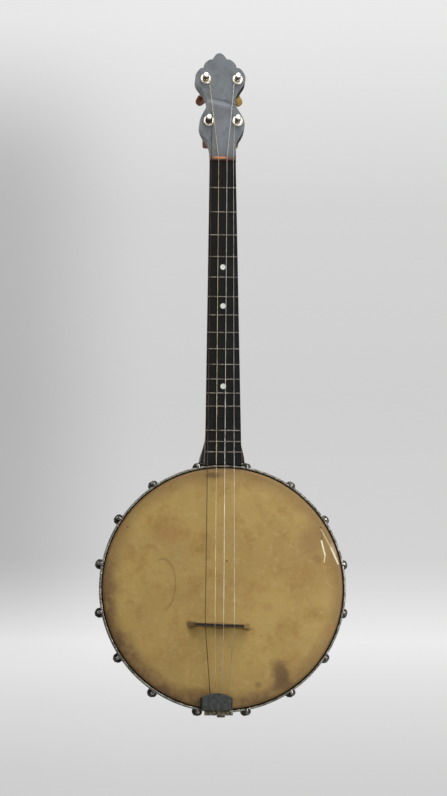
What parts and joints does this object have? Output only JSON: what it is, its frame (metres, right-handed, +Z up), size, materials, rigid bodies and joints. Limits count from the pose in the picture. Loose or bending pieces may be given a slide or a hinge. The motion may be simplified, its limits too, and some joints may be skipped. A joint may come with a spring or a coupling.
{
  "type": "open-back tenor banjo",
  "caption": "Open-back banjo: round skin-headed wooden pot ringed with tension hooks, long fretted neck, lobed headstock with friction pegs, floating bridge and hinged-cover tailpiece.",
  "frame": {"origin": "centre of the pot on the rim's back face", "axes": "+Z up the neck, +Y out of the pot's open back, -Y out of the playing face, +X to the right seen from the front"},
  "size_m": [0.289, 0.111, 0.7758],
  "materials": {
    "maple_dark": "aged varnished maple",
    "maple": "aged maple, rubbed",
    "calfskin": "yellowed calfskin with a brown patina",
    "brass": "dull brass",
    "nickel": "tarnished nickel plate",
    "dark_nickel": "heavily tarnished nickel plate",
    "peg_nickel": "bright nickel plate",
    "steel": "plain steel",
    "ebonised_wood": "ebonised, rubbed satin",
    "ebonised_board": "ebonised, worn between the frets",
    "headstock_face": "faded grey-black facing",
    "fret_wire": "worn fret wire",
    "pearl": "mother of pearl",
    "nut_wood": "brown wood, worn orange on top",
    "bridge_maple": "waxed maple",
    "ebony": "ebony",
    "string_dark": "oxidised wound string",
    "string_bronze": "bronze wound string",
    "string_steel": "plain steel string",
    "celluloid": "amber celluloid"
  },
  "bodies": {
    "banjo": {"rim": "maple_dark", "tone_ring": "brass", "head_skin": "calfskin", "flesh_hoop": "brass", "tension_hoop": "nickel", "hooks": "nickel", "shoes": "nickel", "shoe_screws": "steel", "shoe_washers": "steel", "tension_nuts": "nickel", "neck": "ebonised_wood", "headstock_veneer": "headstock_face", "fingerboard": "ebonised_board", "frets": "fret_wire", "position_dots": "pearl", "nut": "nut_wood", "dowel_stick": "maple", "neck_brace": "brass", "brace_wedge": "maple_dark", "end_bolt": "steel", "end_nut": "nickel", "tailpiece_frame": "dark_nickel", "tailpiece_hinge_pin": "dark_nickel", "bridge": "bridge_maple", "bridge_strip": "ebony", "string_bass": "string_dark", "string_second": "string_bronze", "string_third": "string_steel", "string_treble": "string_steel", "peg_collar_bass_low": "peg_nickel", "peg_ferrule_bass_low": "peg_nickel", "peg_collar_bass_high": "peg_nickel", "peg_ferrule_bass_high": "peg_nickel", "peg_collar_treble_high": "peg_nickel", "peg_ferrule_treble_high": "peg_nickel", "peg_collar_treble_low": "peg_nickel", "peg_ferrule_treble_low": "peg_nickel"},
    "cover": {"tailpiece_cover": "dark_nickel"},
    "peg_bass_low": {"peg_shaft_bass_low": "peg_nickel", "peg_button_bass_low": "celluloid", "peg_screw_bass_low": "steel", "winding_bass_low": "string_dark"},
    "peg_bass_high": {"peg_shaft_bass_high": "peg_nickel", "peg_button_bass_high": "celluloid", "peg_screw_bass_high": "steel", "winding_bass_high": "string_bronze"},
    "peg_treble_high": {"peg_shaft_treble_high": "peg_nickel", "peg_button_treble_high": "celluloid", "peg_screw_treble_high": "steel", "winding_treble_high": "string_steel"},
    "peg_treble_low": {"peg_shaft_treble_low": "peg_nickel", "peg_button_treble_low": "celluloid", "peg_screw_treble_low": "steel", "winding_treble_low": "string_steel"}
  },
  "joints": [
    {"name": "cover_hinge", "type": "hinge", "parent": "banjo", "child": "cover", "pos_m": [-0.0076, -0.067, -0.1347], "axis": [1, 0, 0], "range_deg": [0, 90]},
    {"name": "turn_bass_low", "type": "hinge", "parent": "banjo", "child": "peg_bass_low", "pos_m": [-0.0158, -0.01707, 0.5388], "axis": [0, -0.9724, 0.2334], "continuous": true},
    {"name": "turn_bass_high", "type": "hinge", "parent": "banjo", "child": "peg_bass_high", "pos_m": [-0.01865, -0.00441, 0.59156], "axis": [0, -0.9724, 0.2334], "continuous": true},
    {"name": "turn_treble_high", "type": "hinge", "parent": "banjo", "child": "peg_treble_high", "pos_m": [0.01886, -0.00444, 0.59142], "axis": [0, -0.9724, 0.2334], "continuous": true},
    {"name": "turn_treble_low", "type": "hinge", "parent": "banjo", "child": "peg_treble_low", "pos_m": [0.0179, -0.01703, 0.53898], "axis": [0, -0.9724, 0.2334], "continuous": true}
  ]
}
